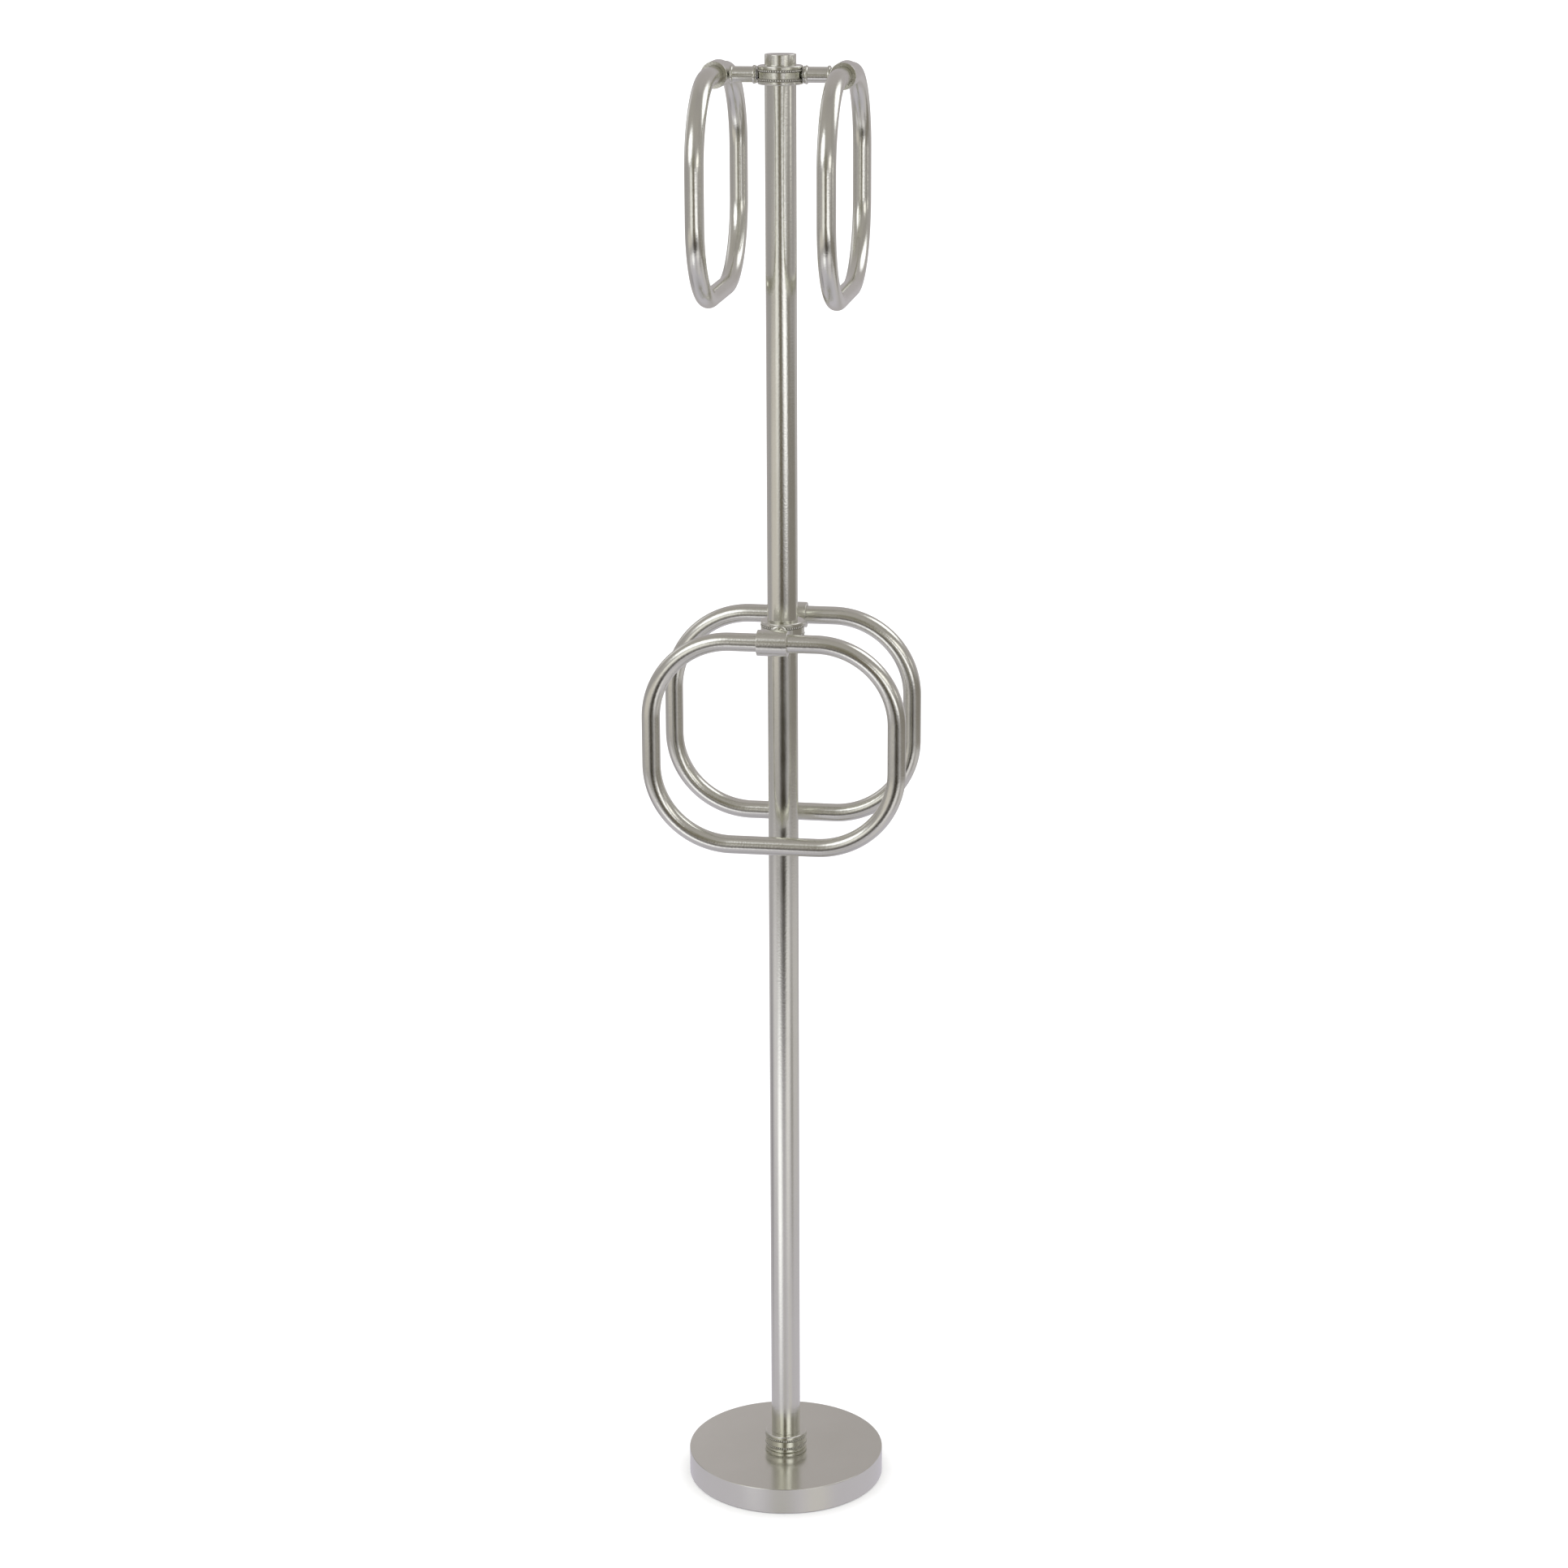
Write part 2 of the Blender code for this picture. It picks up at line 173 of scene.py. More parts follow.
# Softboxes, reflector boards and dark screens round the stand. A later one covers an earlier one
ROOM_PATCHES = {
    "pale_back_wall": Patch(180, 35, 62, 60, 0, 0.45, (0.50, 0.468, 0.476)),
    "ceiling_shade_right": Patch(68, 45, 20, 25, 0, 0.5, (0.415, 0.392, 0.38)),
    "dark_board_right": Patch(95, -7, 44, 11, 0, 0.26, (0.28, 0.257, 0.235)),
    "dark_board_near": Patch(63, 4, 13, 8, 0, 0.6, (0.285, 0.262, 0.237)),
    "beige_board_left": Patch(-49, -4, 29, 12, 0, 0.45, (0.73, 0.685, 0.65)),
    "upper_screen": Patch(3, 26, 17, 12, 0, 0.6, (0.30, 0.285, 0.235)),
    "screen": Patch(4, 3, 12, 19, 0, 0.5, (0.185, 0.16, 0.12)),
    "screen_foot": Patch(10, -16.5, 30, 9.3, 0, 0.55, (0.04, 0.033, 0.024)),
    "floor_line_left": Patch(-40, -17, 31, 4, -5, 0.6, (0.42, 0.40, 0.41)),
    "floor_shine_far_left": Patch(-62, -26, 20, 7, 0, 0.6, (0.82, 0.79, 0.84)),
    "floor_shade_front": Patch(4, -50, 14, 8, 0, 0.8, (0.55, 0.53, 0.53)),
    "floor_glow_right": Patch(45, -50, 16, 10, 0, 0.8, (0.72, 0.685, 0.69)),
    "floor_shine_left": Patch(-29, -33, 17, 8, 0, 0.6, (1.5, 1.49, 1.57)),
    "floor_shine_right": Patch(37, -27, 18, 8.5, 12, 0.6, (0.98, 0.95, 0.98)),
    "floor_shine_far_right": Patch(102, -26, 36, 8, 0, 0.6, (0.66, 0.63, 0.65)),
    "floor_shade_right": Patch(70, -30, 11, 7, 0, 0.6, (0.40, 0.38, 0.375)),
    "floor_shade_back": Patch(-107, -31, 14, 9, 0, 0.6, (0.375, 0.355, 0.395)),
    "left_softbox": Patch(-38, 38.7, 23, 15.3, 12, 0.3, (1.8, 1.8, 1.88)),
    "left_strip": Patch(-24, 10, 12, 11, 0, 0.6, (1.15, 1.13, 1.11)),
    "right_softbox": Patch(32, 6.5, 18, 7.2, -20, 0.45, (1.65, 1.63, 1.7)),
    "high_softbox": Patch(48, 24.5, 15, 7, 0, 0.5, (1.6, 1.56, 1.54)),
    "back_right_softbox": Patch(118, 49.5, 24, 16.5, -8, 0.35, (1.85, 1.85, 1.93)),
    "back_left_glow": Patch(-122, 30, 15, 11, 0, 0.8, (0.95, 0.93, 0.96)),
    "back_left_shade": Patch(-144, 20, 14, 10, 0, 0.6, (0.40, 0.385, 0.38)),
    "back_left_lamp": Patch(-155, 3, 14, 10, 0, 0.6, (0.66, 0.62, 0.65)),
    "back_right_glow": Patch(150, 1, 24, 13, 0, 0.6, (0.60, 0.57, 0.595)),
    "small_lamp": Patch(87, 16.5, 6, 3.5, 0, 0.5, (1.4, 1.35, 1.3)),
}


# ---------------------------------------------------------------- mesh helpers

def finish_mesh(name, bm, material, body=STAND, node=None, sharp_angle=SHARP_ANGLE):
    """Link a bmesh as a piece that rides on a body and may stand for a CAD node."""
    bmesh.ops.recalc_face_normals(bm, faces=bm.faces)
    mesh = bpy.data.meshes.new(name)
    bm.to_mesh(mesh)
    bm.free()
    mesh.materials.append(material)
    mesh.shade_smooth()
    mesh.set_sharp_from_angle(angle=math.radians(sharp_angle))
    piece = bpy.data.objects.new(name, mesh)
    bpy.context.scene.collection.objects.link(piece)
    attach(piece, body)
    if node:
        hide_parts(node)


def arc(centre_r, centre_z, radius, first, last, steps=EDGE_STEPS):
    """Profile points on an arc. Angles are in degrees from the outward direction, turning upward."""
    angles = [math.radians(first + (last - first) * i / steps) for i in range(steps + 1)]
    return [(centre_r + radius * math.cos(a), centre_z + radius * math.sin(a)) for a in angles]


def turned(profile, facets, hollow=True):
    """Spin a profile of (radius, height) points about Z. A solid one starts and ends on the axis."""
    bm = bmesh.new()
    verts = [bm.verts.new((radius, 0, height)) for radius, height in profile]
    ends = verts[1:] + verts[:1] if hollow else verts[1:]
    edges = [bm.edges.new(pair) for pair in zip(verts, ends)]
    bmesh.ops.spin(bm, geom=verts + edges, axis=UP, cent=(0, 0, 0),
                   angle=2 * math.pi, steps=facets, use_merge=True)
    bmesh.ops.remove_doubles(bm, verts=bm.verts, dist=0.001 * MM)
    return bm


def laid_along(bm, origin, direction):
    """Move a piece made about the Z axis to an origin, with its axis along a direction."""
    turn = UP.rotation_difference(direction).to_matrix().to_4x4()
    bm.transform(Matrix.Translation(origin) @ turn)
    return bm


def rounded_tube(inner, outer, low, high, edge):
    """Closed tube profile with rounded outer edges and holding loops."""
    return [
        (inner, low),
        (outer - edge - SUPPORT, low),
        *arc(outer - edge, low + edge, edge, -90, 0),
        (outer, low + edge + SUPPORT),
        (outer, high - edge - SUPPORT),
        *arc(outer - edge, high - edge, edge, 0, 90),
        (outer - edge - SUPPORT, high),
        (inner, high),
    ]


def join_sections(bm, first, second):
    """Faces between two closed sections that have the same number of vertices."""
    for k in range(len(first)):
        bm.faces.new((first[k], first[k - 1], second[k - 1], second[k]))


def tube_sections(bm, path, out, radius, facets):
    """Closed sections of vertices round a path that lies square to the direction out."""
    sections = []
    for i, point in enumerate(path):
        tangent = (path[min(i + 1, len(path) - 1)] - path[max(i - 1, 0)]).normalized()
        across = out.cross(tangent)
        section = []
        for k in range(facets):
            a = 2 * math.pi * k / facets
            section.append(bm.verts.new(point + radius * (out * math.cos(a) + across * math.sin(a))))
        sections.append(section)
    return sections


def close_end(bm, rim, bore):
    """Flat end of a tube whose rim has twice as many vertices as its bore."""
    for k in range(len(bore)):
        bm.faces.new((bore[k], rim[2 * k], rim[2 * k - 1], rim[2 * k - 2], bore[k - 1]))


# ---------------------------------------------------------------- materials

class Nodes:
    """Short forms that add nodes to one shader tree and wire them up."""

    def __init__(self, tree):
        self.tree = tree

    def add(self, kind, inputs=None, **settings):
        node = self.tree.nodes.new(kind)
        for name, value in settings.items():
            setattr(node, name, value)
        for name, value in (inputs or {}).items():
            self.feed(node.inputs[name], value)
        return node

    def feed(self, socket, value):
        if isinstance(value, bpy.types.NodeSocket):
            self.tree.links.new(value, socket)
        else:
            socket.default_value = value

    def math(self, operation, *values):
        node = self.add("ShaderNodeMath", dict(enumerate(values)), operation=operation)
        return node.outputs["Value"]

    def vector(self, operation, *values, output="Vector"):
        node = self.add("ShaderNodeVectorMath", dict(enumerate(values)), operation=operation)
        return node.outputs[output]

    def spread(self, value, low, high, to_low=0.0, to_high=1.0, smooth=False):
        """Map a value from one range to another, held at the ends."""
        inputs = {"Value": value, "From Min": low, "From Max": high, "To Min": to_low, "To Max": to_high}
        kind = "SMOOTHSTEP" if smooth else "LINEAR"
        return self.add("ShaderNodeMapRange", inputs, interpolation_type=kind).outputs["Result"]

    def noise(self, point, scale, detail=2.0, roughness=0.5):
        inputs = {"Vector": point, "Scale": scale, "Detail": detail, "Roughness": roughness}
        return self.add("ShaderNodeTexNoise", inputs).outputs["Fac"]

    def cells(self, point, scale):
        return self.add("ShaderNodeTexVoronoi", {"Vector": point, "Scale": scale})

    def mix(self, factor, first, second):
        """Mix two colours. The node's sockets go by number, because several share a name."""
        node = self.add("ShaderNodeMix", data_type="RGBA")
        for number, value in ((0, factor), (6, first), (7, second)):
            self.feed(node.inputs[number], value)
        return node.outputs[2]

    def object_point(self):
        return self.add("ShaderNodeTexCoord").outputs["Object"]

    def stretched(self, point, scale):
        return self.vector("MULTIPLY", point, scale)

    def bump(self, height, depth, under=None):
        inputs = {"Height": height, "Distance": depth, "Strength": 1.0}
        if under:
            inputs["Normal"] = under
        return self.add("ShaderNodeBump", inputs).outputs["Normal"]

    def edge(self, radius):
        """1 along sharp or tightly rounded edges, 0 on open surfaces."""
        rounded = self.add("ShaderNodeBevel", {"Radius": radius}, samples=4).outputs["Normal"]
        plain = self.add("ShaderNodeNewGeometry").outputs["Normal"]
        agreement = self.vector("DOT_PRODUCT", rounded, plain, output="Value")
        return self.spread(agreement, *EDGE_AGREEMENT)


def new_material(name, slot):
    material = bpy.data.materials.new(name)
    material.use_nodes = True
    material["slot"] = slot
    return material, Nodes(material.node_tree), material.node_tree.nodes["Principled BSDF"]


def satin_nickel(name, lines, grain_depth, shaded_crevices=None, crevice_shade_colour=BEAD_NECK_PAINTED_SHADE):
    """Satin-plated brass: pebbly grain, faint polishing lines, edges rubbed bright, and painted shade
    darkening the crevices.
    """
    material, nodes, shader = new_material(name, "satin_nickel")
    point = nodes.object_point()
    grain = nodes.noise(point, scale=700.0, detail=0.0)
    polish = nodes.noise(point, scale=55.0, detail=3.0)
    tarnish = nodes.noise(point, scale=16.0, detail=4.0, roughness=0.6)
    line_height = nodes.noise(lines(nodes, point), scale=1.0)
    worn = nodes.edge(WORN_EDGE)

    colour = nodes.mix(nodes.spread(tarnish, *NOISE_SPAN), NICKEL_DARK, NICKEL_LIGHT)
    colour = nodes.mix(worn, colour, NICKEL_WORN)
    dull = nodes.spread(polish, *NOISE_SPAN, *NICKEL_ROUGHNESS)
    between_lines = nodes.math("SUBTRACT", dull, LINE_ROUGHNESS / 2)
    scratched = nodes.math("MULTIPLY_ADD", line_height, LINE_ROUGHNESS, between_lines)
    roughness = nodes.math("MULTIPLY_ADD", worn, WORN_ROUGHNESS, scratched)
    # Painted shade: the crevice mask darkens the colour there, and also makes the surface rougher
    if shaded_crevices:
        crevice_shade = shaded_crevices(nodes, point)
        colour = nodes.mix(crevice_shade, colour, crevice_shade_colour)
        roughness = nodes.math("MULTIPLY_ADD", crevice_shade, CREVICE_ROUGHNESS, roughness)
    nodes.feed(shader.inputs["Base Color"], colour)
    nodes.feed(shader.inputs["Roughness"], roughness)
    lined = nodes.bump(line_height, LINE_DEPTH)
    nodes.feed(shader.inputs["Normal"], nodes.bump(grain, grain_depth, lined))
    shader.inputs["Metallic"].default_value = 1.0
    return material


def lines_along_height(nodes, point):
    """Lines that run up the pole."""
    return nodes.stretched(point, (1400.0, 1400.0, 30.0))


def turn_and_height(nodes, point):
    parts = nodes.add("ShaderNodeSeparateXYZ", {"Vector": point})
    return nodes.math("ARCTAN2", parts.outputs["Y"], parts.outputs["X"]), parts.outputs["Z"]


def lines_around(nodes, point):
    """Turning lines: they vary with the distance from the pole's axis and with height, hardly round it."""
    flat = nodes.stretched(point, (1.0, 1.0, 0.0))
    radius = nodes.vector("LENGTH", flat, output="Value")
    turn, height = turn_and_height(nodes, point)
    inputs = {
        "X": nodes.math("MULTIPLY", radius, 1600.0),
        "Y": nodes.math("MULTIPLY", nodes.math("SINE", turn), 2.0),
        "Z": nodes.math("MULTIPLY", height, 1600.0),
    }
    return nodes.add("ShaderNodeCombineXYZ", inputs).outputs["Vector"]


def lines_every_way(nodes, point):
    """Fine specks with no direction, for bent and small pieces."""
    return nodes.stretched(point, (420.0, 420.0, 420.0))


def neck_shade_mask(nodes, point):
    """1 in the necks of a bead row, where painted shade goes, 0 on the beads."""
    turn, _ = turn_and_height(nodes, point)
    wave = nodes.math("COSINE", nodes.math("MULTIPLY", turn, float(BEADS_PER_ROW)))
    return nodes.spread(wave, *NECK_SPAN)


def groove_shade_mask(middle):
    """Make a function that marks the two grooves of a hub for painted shade, 1 inside them and 0 outside.
    """
    def shaded_crevices(nodes, point):
        _, height = turn_and_height(nodes, point)
        from_middle = nodes.math("ABSOLUTE", nodes.math("SUBTRACT", height, middle))
        from_row = nodes.math("ABSOLUTE", nodes.math("SUBTRACT", from_middle, BEAD_ROW_OFFSET))
        return nodes.spread(from_row, GROOVE_HALF_WIDTH, GROOVE_HALF_WIDTH - GROOVE_BLEND)
    return shaded_crevices


def cast_iron():
    """Dark sand-cast iron with brownish blotches."""
    material, nodes, shader = new_material("cast_iron", "cast_iron")
    point = nodes.object_point()
    blotch = nodes.noise(point, scale=40.0, detail=5.0, roughness=0.65)
    sand = nodes.noise(point, scale=900.0, detail=3.0)
    black, brown = (0.055, 0.052, 0.05, 1), (0.13, 0.115, 0.10, 1)
    nodes.feed(shader.inputs["Base Color"], nodes.mix(nodes.spread(blotch, 0.35, 0.7), black, brown))
    nodes.feed(shader.inputs["Roughness"], nodes.spread(sand, *NOISE_SPAN, to_low=0.6, to_high=0.85))
    nodes.feed(shader.inputs["Normal"], nodes.bump(sand, 0.25 * MM))
    shader.inputs["Metallic"].default_value = 0.7
    return material


def zinc_steel():
    """Zinc-plated steel with faint spangles and scratches."""
    material, nodes, shader = new_material("zinc_steel", "zinc_steel")
    point = nodes.object_point()
    spangle = nodes.cells(point, scale=420.0).outputs["Color"]
    tone = nodes.add("ShaderNodeSeparateColor", {"Color": spangle}).outputs["Red"]
    scratch = nodes.noise(nodes.stretched(point, (900.0, 900.0, 60.0)), scale=1.0)
    grey, pale = (0.58, 0.59, 0.60, 1), (0.70, 0.70, 0.68, 1)
    nodes.feed(shader.inputs["Base Color"], nodes.mix(tone, grey, pale))
    nodes.feed(shader.inputs["Roughness"], nodes.spread(tone, 0.0, 1.0, to_low=0.28, to_high=0.42))
    nodes.feed(shader.inputs["Normal"], nodes.bump(scratch, 0.01 * MM))
    shader.inputs["Metallic"].default_value = 1.0
    return material


def black_rubber():
    """Pebbled black rubber with some dust on it."""
    material, nodes, shader = new_material("black_rubber", "rubber")
    point = nodes.object_point()
    pebble = nodes.cells(point, scale=1100.0).outputs["Distance"]
    dust = nodes.noise(point, scale=35.0, detail=4.0, roughness=0.6)
    black, dusty = (0.020, 0.020, 0.021, 1), (0.055, 0.053, 0.05, 1)
    nodes.feed(shader.inputs["Base Color"], nodes.mix(nodes.spread(dust, 0.4, 0.75), black, dusty))
    nodes.feed(shader.inputs["Roughness"], nodes.spread(dust, *NOISE_SPAN, to_low=0.72, to_high=0.9))
    nodes.feed(shader.inputs["Normal"], nodes.bump(pebble, 0.06 * MM))
    return material


lower_tube_nickel = satin_nickel("satin_nickel_lower_tube", lines_along_height, grain_depth=0.03 * MM)
upper_tube_nickel = satin_nickel("satin_nickel_upper_tube", lines_along_height, grain_depth=0.04 * MM)
base_nickel = satin_nickel("satin_nickel_base", lines_around, grain_depth=0.01 * MM)
cap_nickel = satin_nickel("satin_nickel_cap", lines_around, grain_depth=0.02 * MM)
bent_nickel = satin_nickel("satin_nickel_bent", lines_every_way, grain_depth=0.035 * MM)
# The necks between the beads get painted shade
bead_nickel = satin_nickel("satin_nickel_beads", lines_every_way, grain_depth=0.02 * MM,
                           shaded_crevices=neck_shade_mask)
iron = cast_iron()
steel = zinc_steel()
rubber = black_rubber()

CAD_MATERIALS = {"base_weight": iron, "foot_pad": rubber}
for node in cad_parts.values():
    node.data.materials.clear()
    node.data.materials.append(CAD_MATERIALS.get(node.name, steel))


# ---------------------------------------------------------------- base

def make_cover():
    low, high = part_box("base_cover")
    radius = high.x
    inside = radius - TUBE_WALL
    profile = [
        (inside, low.z),
        *arc(radius - COVER_LIP, low.z + COVER_LIP, COVER_LIP, -90, 0, LIP_STEPS),
        (radius, low.z + COVER_LIP + SUPPORT),
        (radius, high.z - COVER_EDGE - SUPPORT),
        *arc(radius - COVER_EDGE, high.z - COVER_EDGE, COVER_EDGE, 0, 90),
        (radius - COVER_EDGE - SUPPORT, high.z),
        (MAIN_BORE + SUPPORT, high.z),
        (MAIN_BORE, high.z),
        (MAIN_BORE, high.z - TUBE_WALL),
        (inside, high.z - TUBE_WALL),
    ]
    finish_mesh("base_cover_fine", turned(profile, COVER_FACETS), base_nickel, node="base_cover")


def make_pad():
    low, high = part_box("foot_pad")
    rim = high.x - PAD_EDGE
    profile = [
        (0, low.z),
        (rim - SUPPORT, low.z),
        *arc(rim, low.z + PAD_EDGE, PAD_EDGE, -90, 0),
        *arc(rim, high.z - PAD_EDGE, PAD_EDGE, 0, 90),
        (0, high.z),
    ]
    finish_mesh("foot_pad_fine", turned(profile, TURNED_FACETS, hollow=False), rubber, node="foot_pad")


# ---------------------------------------------------------------- hubs and pole

def bead_ring(middle_z, radius):
    """One row of beads round a hub: a round bar whose thickness rises and falls along it."""
    bm = bmesh.new()
    count = BEADS_PER_ROW * BEAD_STEPS
    sections = []
    for i in range(count):
        turn = 2 * math.pi * i / count
        along = 2 * (i % BEAD_STEPS) / BEAD_STEPS - 1
        thickness = BEAD_RADIUS * math.sqrt(max(1 - along * along, BEAD_NECK))
        circle = arc(radius, middle_z, thickness, 0, 360, BEAD_FACETS)[:-1]
        section = [bm.verts.new((out * math.cos(turn), out * math.sin(turn), z)) for out, z in circle]
        sections.append(section)
    for i in range(count):
        join_sections(bm, sections[i - 1], sections[i])
    return bm


def groove(row):
    """Profile points of the shallow groove that a row of beads lies in."""
    below, above = row - GROOVE_HALF_WIDTH, row + GROOVE_HALF_WIDTH
    return [
        (HUB_BARREL, below - SUPPORT),
        (HUB_BARREL, below),
        (HUB_BARREL - GROOVE_DEPTH, below + GROOVE_DEPTH / 2),
        (HUB_BARREL - GROOVE_DEPTH, above - GROOVE_DEPTH / 2),
        (HUB_BARREL, above),
        (HUB_BARREL, above + SUPPORT),
    ]


def make_hub(node, lowered=0.0):
    """A turned hub with two rows of beads. Its foot is lowered from the CAD one by the given length."""
    low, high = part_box(node)
    middle = (low.z + high.z) / 2
    foot = low.z - lowered
    profile = [
        (MAIN_BORE, foot),
        (HUB_BARREL - HUB_EDGE - SUPPORT, foot),
        *arc(HUB_BARREL - HUB_EDGE, foot + HUB_EDGE, HUB_EDGE, -90, 0),
        (HUB_BARREL, foot + HUB_EDGE + SUPPORT),
        *groove(middle - BEAD_ROW_OFFSET),
        *groove(middle + BEAD_ROW_OFFSET),
        (HUB_BARREL, high.z - HUB_EDGE - SUPPORT),
        *arc(HUB_BARREL - HUB_EDGE, high.z - HUB_EDGE, HUB_EDGE, 0, 90),
        (HUB_BARREL - HUB_EDGE - SUPPORT, high.z),
        (MAIN_BORE, high.z),
    ]
    # The grooves under the bead rows get painted shade
    nickel = satin_nickel(f"satin_nickel_{node}", lines_around, grain_depth=0.03 * MM,
                          shaded_crevices=groove_shade_mask(middle), crevice_shade_colour=GROOVE_PAINTED_SHADE)
    finish_mesh(f"{node}_barrel", turned(profile, TURNED_FACETS), nickel, node=node)
    bead_line = high.x - BEAD_RADIUS
    for row, offset in (("lower", -BEAD_ROW_OFFSET), ("upper", BEAD_ROW_OFFSET)):
        beads = bead_ring(middle + offset, bead_line)
        finish_mesh(f"{node}_beads_{row}", beads, bead_nickel, sharp_angle=BEAD_SHARP_ANGLE)


def make_tube(node, nickel):
    low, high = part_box(node)
    foot = low.z - CAD_GAP + SEAT_GAP
    head = high.z + CAD_GAP - SEAT_GAP
    profile = rounded_tube(high.x - TUBE_WALL, high.x, foot, head, TUBE_EDGE)
    finish_mesh(f"{node}_fine", turned(profile, TURNED_FACETS), nickel, node=node)


def make_cap():
    low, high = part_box("top_cap")
    bore_top = low.z + CAP_BORE_DEPTH
    foot = low.z - CAD_GAP + SEAT_GAP
    profile = [
        (0, bore_top),
        (MAIN_BORE, bore_top),
        (MAIN_BORE, foot),
        (high.x - SUPPORT, foot),
        (high.x, foot),
        (high.x, foot + SUPPORT),
        (high.x, high.z - CAP_EDGE - SUPPORT),
        *arc(high.x - CAP_EDGE, high.z - CAP_EDGE, CAP_EDGE, 0, 90),
        (high.x - CAP_EDGE - SUPPORT, high.z),
        (0, high.z),
    ]
    finish_mesh("top_cap_fine", turned(profile, TURNED_FACETS, hollow=False), cap_nickel, node="top_cap")


# ---------------------------------------------------------------- arms and rings

def flange(start, outer):
    """Full-round ring on a post, from start along its axis."""
    half = FLANGE_WIDTH / 2
    return arc(outer - half, start + half, half, -90, 90, FLANGE_STEPS)


def make_post(side, out):
    """A post with a flange at each end. Its profile starts at the hub and its heights run outward."""
    node = f"arm_post_{side}"
    low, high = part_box(node)
    near, far = sorted((abs(low.dot(out)), abs(high.dot(out))))
    flange_radius = (high.z - low.z) / 2
    near_flange = near + SEAT_LENGTH
    far_flange = far - FLANGE_WIDTH
    profile = [
        (ARM_BORE, near),
        (SEAT_RADIUS - SUPPORT, near),
        (SEAT_RADIUS, near),
        (SEAT_RADIUS, near_flange - SEAT_LOOP),
        (SEAT_RADIUS, near_flange),
        *flange(near_flange, flange_radius)[1:],
        (POST_RADIUS, near_flange + FLANGE_WIDTH),
        (POST_RADIUS, near_flange + FLANGE_WIDTH + SUPPORT),
        (POST_RADIUS, far_flange - SUPPORT),
        (POST_RADIUS, far_flange),
        *flange(far_flange, flange_radius),
        (ARM_BORE, far),
    ]
    middle = Vector((0, 0, (low.z + high.z) / 2))
    post = laid_along(turned(profile, SMALL_FACETS), middle, out)
    finish_mesh(f"{node}_fine", post, bent_nickel, node=node)


def make_holder(side, out):
    """The sleeve that a ring's bar turns in."""
    node = f"ring_holder_{side}"
    low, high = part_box(node)
    size = high - low
    bar = UP.cross(out)
    half_length = abs(size.dot(bar)) / 2
    profile = rounded_tube(HOLDER_BORE, size.z / 2, -half_length, half_length, HOLDER_EDGE)
    sleeve = laid_along(turned(profile, SMALL_FACETS), (low + high) / 2, bar)
    finish_mesh(f"{node}_fine", sleeve, bent_nickel, node=node)


def ring_path(half_width, drop):
    """Centreline of a ring about the middle of its bar, as (along the bar, up) points."""
    straight = half_width - RING_CORNER
    top = -RING_CORNER
    bottom = RING_CORNER - drop
    corners = ((straight, top, 90), (straight, bottom, 0), (-straight, bottom, -90), (-straight, top, -180))
    path = [(RING_SEAM / 2, 0.0), (RING_SEAM / 2 + SUPPORT, 0.0)]
    for along, up, first in corners:
        path += arc(along, up, RING_CORNER, first, first - 90, BEND_STEPS)
    path += [(-RING_SEAM / 2 - SUPPORT, 0.0), (-RING_SEAM / 2, 0.0)]
    return path


def make_ring(side, out):
    """A bent tube that swings on its upper bar. Its seam is in the middle of the bar."""
    node = f"towel_ring_{side}"
    low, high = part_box(node)
    size = high - low
    bar = UP.cross(out)
    radius = abs(size.dot(out)) / 2
    half_width = abs(size.dot(bar)) / 2 - radius
    drop = size.z - 2 * radius
    centre = (low + high) / 2
    pivot = Vector((centre.x, centre.y, high.z - radius))
    path = [pivot + bar * along + UP * up for along, up in ring_path(half_width, drop)]
    bm = bmesh.new()
    outer = tube_sections(bm, path, out, radius, RING_FACETS)
    inner = tube_sections(bm, path, out, RING_TUBE_BORE, RING_BORE_FACETS)
    for sections in (outer, inner):
        for first, second in zip(sections, sections[1:]):
            join_sections(bm, first, second)
    for end in (0, -1):
        close_end(bm, outer[end], inner[end])
    finish_mesh(f"{node}_fine", bm, bent_nickel, body=f"{side}_ring", node=node)


# ---------------------------------------------------------------- room, light and camera

def make_floor():
    half = FLOOR_HALF_WIDTH
    corners = [(-half, -half, 0), (half, -half, 0), (half, half, 0), (-half, half, 0)]
    mesh = bpy.data.meshes.new("floor")
    mesh.from_pydata(corners, [], [(0, 1, 2, 3)])
    material = bpy.data.materials.new("floor")
    material.use_nodes = True
    shader = material.node_tree.nodes["Principled BSDF"]
    shader.inputs["Base Color"].default_value = FLOOR_COLOUR
    shader.inputs["Roughness"].default_value = FLOOR_ROUGHNESS
    shader.inputs["Specular IOR Level"].default_value = 0.0
    mesh.materials.append(material)
    floor = bpy.data.objects.new("floor", mesh)
    bpy.context.scene.collection.objects.link(floor)
    floor.visible_glossy = False


def make_sky():
    """Even white light from everywhere. The metal mirrors the dome instead."""
    world = bpy.data.worlds.new("studio")
    world.use_nodes = True
    background = world.node_tree.nodes["Background"]
    background.inputs["Color"].default_value = (1, 1, 1, 1)
    background.inputs["Strength"].default_value = SKY_STRENGTH
    bpy.context.scene.world = world


def room_gradient(nodes, height):
    ramp = nodes.add("ShaderNodeValToRGB", {"Fac": nodes.spread(height, -90.0, 90.0)})
    stops = ramp.color_ramp.elements
    while len(stops) < len(ROOM_SHADES):
        stops.new(0.5)
    for stop, (stop_height, shade) in zip(stops, ROOM_SHADES):
        stop.position = (stop_height + 90) / 180
        stop.color = (*shade, 1)
    return ramp.outputs["Color"]


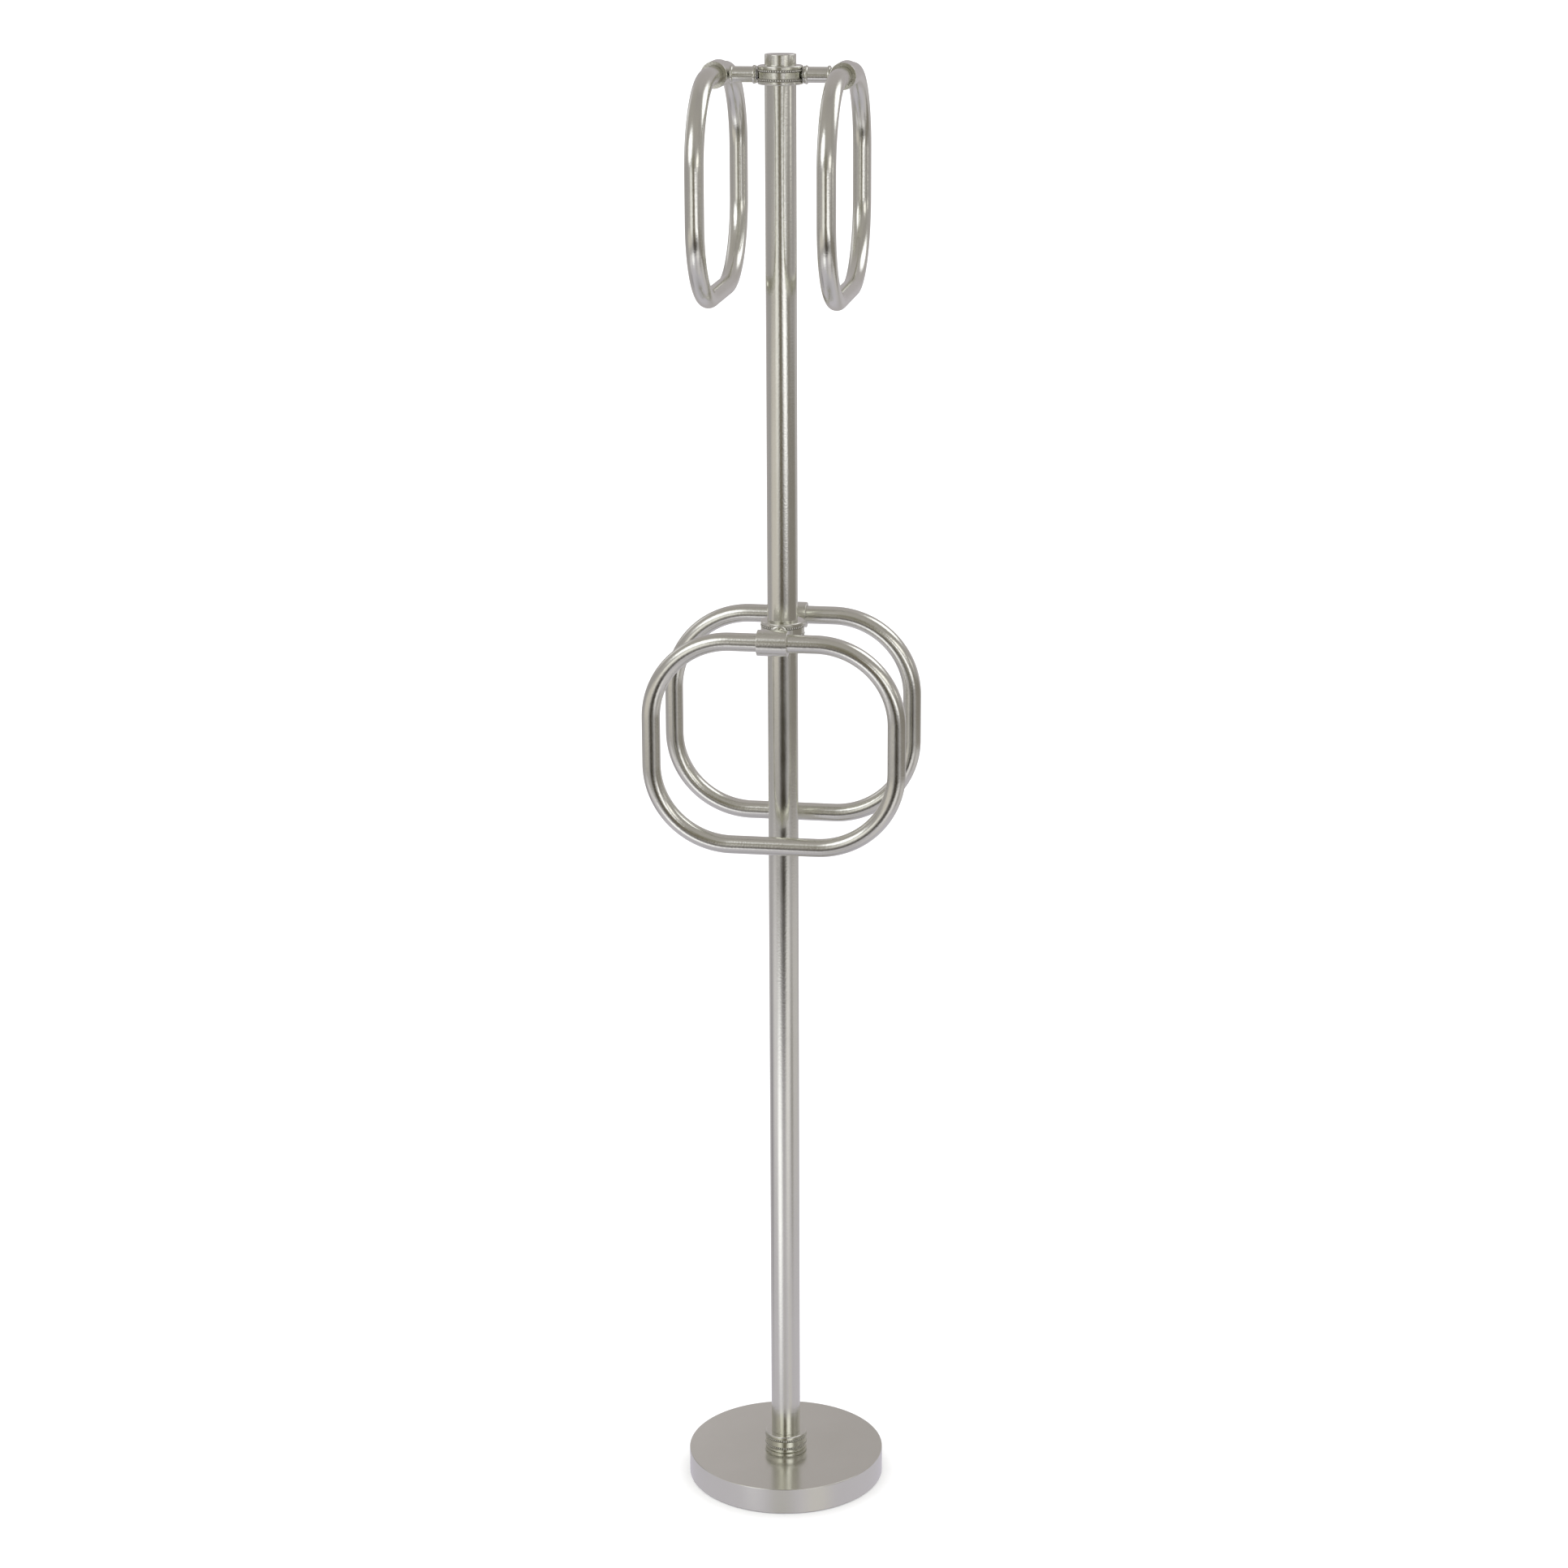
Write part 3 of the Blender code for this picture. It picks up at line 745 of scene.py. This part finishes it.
def inside_patch(nodes, bearing, height, name, patch):
    """1 inside a patch of the dome, 0 outside it."""
    aside = nodes.math("WRAP", nodes.math("SUBTRACT", bearing, patch.bearing), 180.0, -180.0)
    inputs = {
        "Vector": nodes.add("ShaderNodeCombineXYZ", {"X": aside, "Y": height}).outputs["Vector"],
        "Location": (0, patch.height, 0),
        "Rotation": (0, 0, math.radians(patch.tilt)),
        "Scale": (patch.half_width, patch.half_height, 1),
    }
    offset = nodes.add("ShaderNodeMapping", inputs, vector_type="TEXTURE", label=name).outputs["Vector"]
    reach = nodes.vector("LENGTH", offset, output="Value")
    return nodes.spread(reach, 1 + patch.softness, 1 - patch.softness, smooth=True)


def room_colour(nodes):
    parts = nodes.add("ShaderNodeSeparateXYZ", {"Vector": nodes.vector("NORMALIZE", nodes.object_point())})
    front = nodes.math("MULTIPLY", parts.outputs["Y"], -1.0)
    bearing = nodes.math("DEGREES", nodes.math("ARCTAN2", parts.outputs["X"], front))
    height = nodes.math("DEGREES", nodes.math("ARCSINE", parts.outputs["Z"]))
    colour = room_gradient(nodes, height)
    for name, patch in ROOM_PATCHES.items():
        inside = inside_patch(nodes, bearing, height, name, patch)
        colour = nodes.mix(inside, colour, (*patch.shade, 1))
    return nodes.vector("MULTIPLY", colour, ROOM_TINT)


def make_room():
    """A dome round the stand, seen only by the metal, that holds the room's lights and darks."""
    bm = bmesh.new()
    bmesh.ops.create_uvsphere(bm, u_segments=ROOM_SEGMENTS, v_segments=ROOM_BANDS, radius=ROOM_RADIUS)
    mesh = bpy.data.meshes.new("room_dome")
    bm.to_mesh(mesh)
    bm.free()
    material = bpy.data.materials.new("room_dome")
    material.use_nodes = True
    material.cycles.emission_sampling = "NONE"
    tree = material.node_tree
    nodes = Nodes(tree)
    tree.nodes.remove(tree.nodes["Principled BSDF"])
    glow = nodes.add("ShaderNodeEmission", {"Color": room_colour(nodes)})
    tree.links.new(glow.outputs["Emission"], tree.nodes["Material Output"].inputs["Surface"])
    mesh.materials.append(material)
    dome = bpy.data.objects.new("room_dome", mesh)
    dome.location.z = ROOM_MIDDLE_HEIGHT
    dome.visible_camera = False
    dome.visible_diffuse = False
    dome.visible_transmission = False
    dome.visible_shadow = False
    bpy.context.scene.collection.objects.link(dome)


def make_camera():
    camera_data = bpy.data.cameras.new("camera")
    camera_data.sensor_width = CAMERA_SENSOR
    camera_data.lens = CAMERA_LENS
    camera = bpy.data.objects.new("camera", camera_data)
    bpy.context.scene.collection.objects.link(camera)
    bearing = math.radians(CAMERA_BEARING)
    aside = CAMERA_DISTANCE * math.sin(bearing)
    ahead = -CAMERA_DISTANCE * math.cos(bearing)
    camera.matrix_world = (
        Matrix.Translation((aside, ahead, CAMERA_HEIGHT))
        @ Matrix.Rotation(math.radians(CAMERA_LOOK_BEARING), 4, "Z")
        @ Matrix.Rotation(math.radians(90 - CAMERA_TILT_DOWN), 4, "X")
        @ Matrix.Rotation(math.radians(CAMERA_ROLL), 4, "Z")
    )
    bpy.context.scene.camera = camera


make_camera()
make_cover()
make_pad()
make_hub("base_collar", lowered=CAD_GAP - SEAT_GAP)
make_hub("mid_hub")
make_hub("top_hub")
make_tube("lower_tube", lower_tube_nickel)
make_tube("upper_tube", upper_tube_nickel)
make_cap()
for side, out in OUTWARD.items():
    make_post(side, out)
    make_holder(side, out)
    make_ring(side, out)
make_floor()
make_sky()
make_room()
bpy.context.scene.view_settings.view_transform = "Standard"
